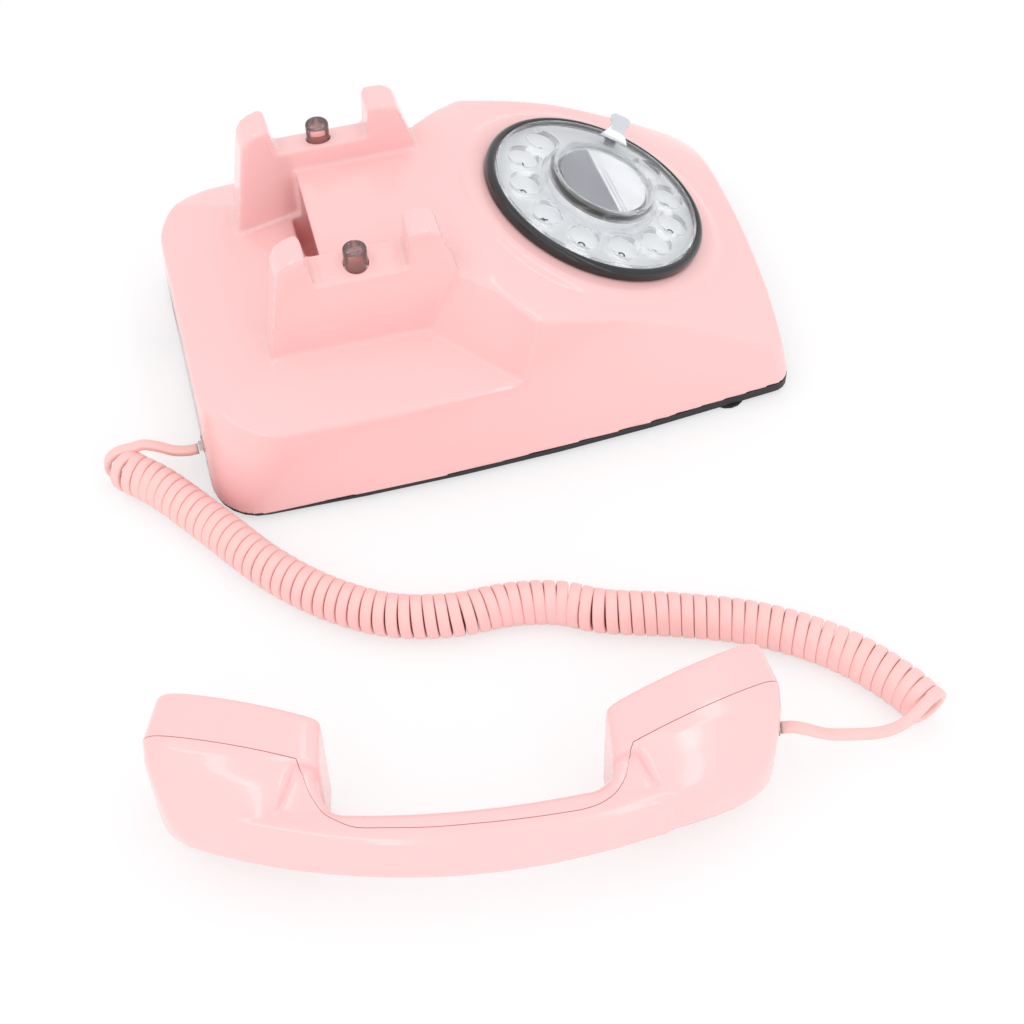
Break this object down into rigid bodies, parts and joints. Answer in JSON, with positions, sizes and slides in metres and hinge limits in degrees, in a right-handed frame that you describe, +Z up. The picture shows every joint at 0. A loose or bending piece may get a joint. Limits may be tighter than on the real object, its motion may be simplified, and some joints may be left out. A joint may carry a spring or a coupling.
{
  "type": "rotary-dial desk telephone",
  "caption": "Pink moulded desk telephone with a clear finger wheel, a cradle of prongs, and its corded handset laid beside it.",
  "frame": {"origin": "middle of the footprint of the telephone and its handset, without the cord, on the table top", "axes": "+X from the handset towards the telephone, to the right of a person who dials; -Y towards that person, the dial side; +Z up"},
  "size_m": [0.342, 0.2858, 0.1058],
  "materials": {
    "pink_shell": "gloss",
    "pink_cord": "satin",
    "black_plastic": "gloss",
    "rubber": "matte",
    "steel": "brushed",
    "board": "matte",
    "smoke_clear": "gloss",
    "silver_plate": "satin",
    "brass": "machined",
    "clear_plastic": "clear",
    "mechanism": "matte",
    "card": "printed paper",
    "chrome": "polished"
  },
  "bodies": {
    "base": {"body_shell": "pink_shell", "base_plate": "black_plastic", "cord_socket": "black_plastic", "line_socket": "black_plastic", "dial_bezel": "black_plastic", "dial_housing": "black_plastic", "ringer_sounder": "black_plastic", "hook_switch": "black_plastic", "board_post_1": "black_plastic", "board_post_2": "black_plastic", "board_post_3": "black_plastic", "board_post_4": "black_plastic", "foot_front_right": "rubber", "foot_front_left": "rubber", "foot_rear_right": "rubber", "foot_rear_left": "rubber", "base_screw_front_right": "steel", "base_screw_front_left": "steel", "base_screw_rear_right": "steel", "base_screw_rear_left": "steel", "ballast_weight": "steel", "hook_pivot_pin": "steel", "hook_frame": "steel", "hook_spring": "steel", "circuit_board": "board", "number_plate": "silver_plate", "dial_bush": "brass", "cord_plug_base": "clear_plastic", "finger_stop": "chrome", "cord_coil": "pink_cord", "cord_tail_base": "pink_cord", "cord_tail_handset": "pink_cord"},
    "wheel": {"finger_wheel": "clear_plastic", "card_cover": "clear_plastic", "centre_card": "card", "dial_shaft": "steel", "dial_cam": "mechanism"},
    "plunger_left": {"hook_plunger_left": "smoke_clear"},
    "plunger_right": {"hook_plunger_right": "smoke_clear"},
    "lever": {"hook_lever": "steel"},
    "handset": {"handset_front_shell": "pink_shell", "handset_back_shell": "pink_shell", "receiver_capsule": "black_plastic", "transmitter_capsule": "black_plastic", "handset_socket": "black_plastic", "cord_plug_handset": "clear_plastic"}
  },
  "joints": [
    {"name": "finger_wheel_turn", "type": "hinge", "parent": "base", "child": "wheel", "pos_m": [0.09293, -0.07517, 0.0672], "axis": [0, 0.3795, -0.9252], "range_deg": [0, 315], "stiffness_Nm_per_rad": 0.012, "springref_deg": -45.84},
    {"name": "hook_lever_turn", "type": "hinge", "parent": "base", "child": "lever", "pos_m": [0.09293, 0.00603, 0.07], "axis": [-1, 0, 0], "range_deg": [0, 12.7], "stiffness_Nm_per_rad": 0.09, "springref_deg": -20.05},
    {"name": "plunger_left_slide", "type": "slide", "parent": "base", "child": "plunger_left", "axis": [0, 0, -1], "range_m": [0, 0.0055]},
    {"name": "plunger_right_slide", "type": "slide", "parent": "base", "child": "plunger_right", "axis": [0, 0, -1], "range_m": [0, 0.0055]},
    {"name": "handset_lift", "type": "slide", "parent": "base", "child": "handset", "axis": [0, 0, 1], "range_m": [0, 0.1], "deforming": ["cord_tail_handset"]}
  ],
  "couplings": [
    {"joint": "plunger_left_slide", "follows": "hook_lever_turn", "m_per_rad": 0.0247},
    {"joint": "plunger_right_slide", "follows": "hook_lever_turn", "m_per_rad": 0.0247}
  ]
}
